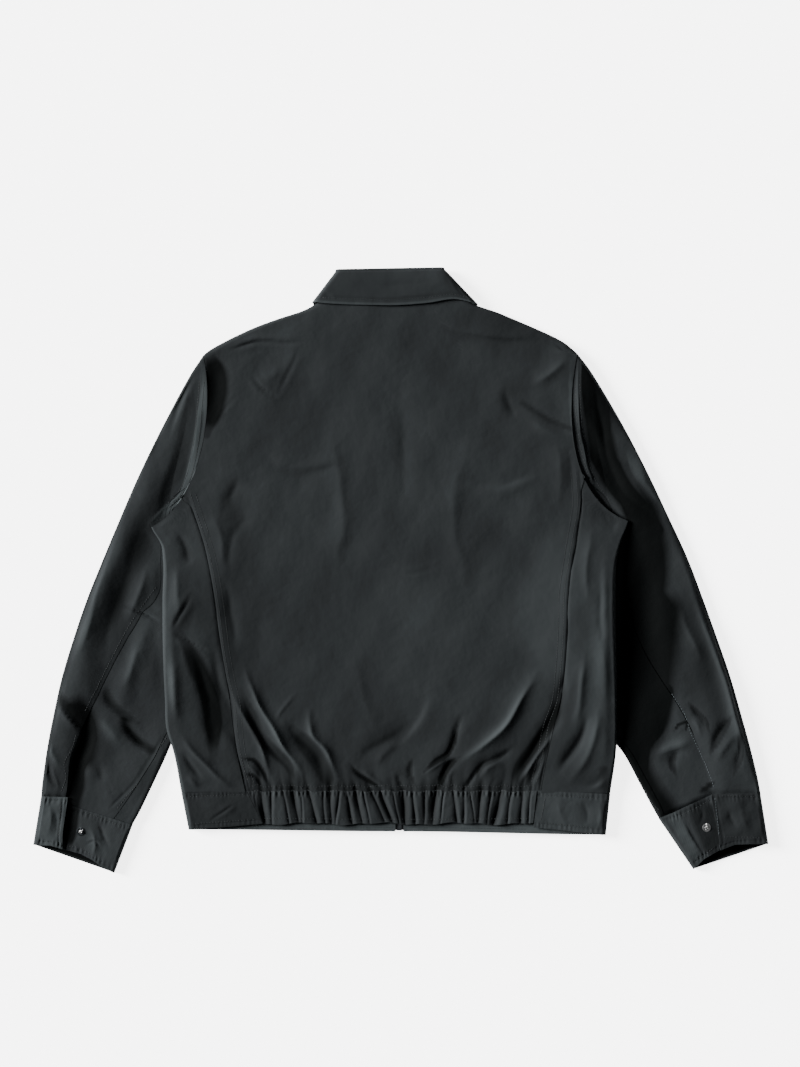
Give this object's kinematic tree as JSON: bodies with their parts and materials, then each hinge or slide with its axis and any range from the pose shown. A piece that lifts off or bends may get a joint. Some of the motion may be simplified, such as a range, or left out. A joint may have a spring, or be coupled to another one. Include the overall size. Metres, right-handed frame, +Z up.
{
  "type": "work jacket",
  "caption": "Waist-length work jacket lying flat with its back up: folded collar, open cuffs, elastic waistband and front zip.",
  "frame": {"origin": "middle of the box round the jacket, on the surface it lies on", "axes": "+Z up out of the back of the jacket, +Y from hem to collar, +X to the wearer's right, which is the picture's right because the back is up"},
  "size_m": [0.9204, 0.758, 0.0158],
  "materials": {
    "back": "smooth dark charcoal twill",
    "front_left": "smooth dark charcoal twill",
    "front_right": "smooth dark charcoal twill",
    "sleeve_upper_left": "smooth dark charcoal twill",
    "sleeve_upper_right": "smooth dark charcoal twill",
    "sleeve_under_left": "smooth dark charcoal twill",
    "sleeve_under_right": "smooth dark charcoal twill",
    "collar_stand": "smooth dark charcoal twill",
    "collar_fall": "smooth dark charcoal twill",
    "cuff_left": "smooth dark charcoal twill, doubled",
    "cuff_right": "smooth dark charcoal twill, doubled",
    "waistband_back": "smooth dark charcoal twill, doubled",
    "waistband_left": "smooth dark charcoal twill, doubled",
    "waistband_right": "smooth dark charcoal twill, doubled",
    "zip_tape_left": "woven zip tape",
    "zip_tape_right": "woven zip tape",
    "zip_box": "plated metal",
    "zip_slider": "plated metal",
    "zip_pull": "plated metal",
    "snap_stud_left": "plated metal",
    "snap_stud_right": "plated metal"
  },
  "bodies": {
    "jacket": {"back": "back", "front_left": "front_left", "front_right": "front_right", "sleeve_upper_left": "sleeve_upper_left", "sleeve_upper_right": "sleeve_upper_right", "sleeve_under_left": "sleeve_under_left", "sleeve_under_right": "sleeve_under_right", "collar_stand": "collar_stand", "collar_fall": "collar_fall", "cuff_left": "cuff_left", "cuff_right": "cuff_right", "waistband_back": "waistband_back", "waistband_left": "waistband_left", "waistband_right": "waistband_right", "zip_tape_left": "zip_tape_left", "zip_tape_right": "zip_tape_right", "zip_box": "zip_box", "zip_slider": "zip_slider", "snap_stud_left": "snap_stud_left", "snap_stud_right": "snap_stud_right"},
    "zip_pull": {"zip_pull": "zip_pull"}
  },
  "joints": [
    {"name": "zip_pull_hinge", "type": "hinge", "parent": "jacket", "child": "zip_pull", "pos_m": [-0.00175, 0.268, 0.00301], "axis": [1, 0, 0], "range_deg": [0, 170]}
  ]
}
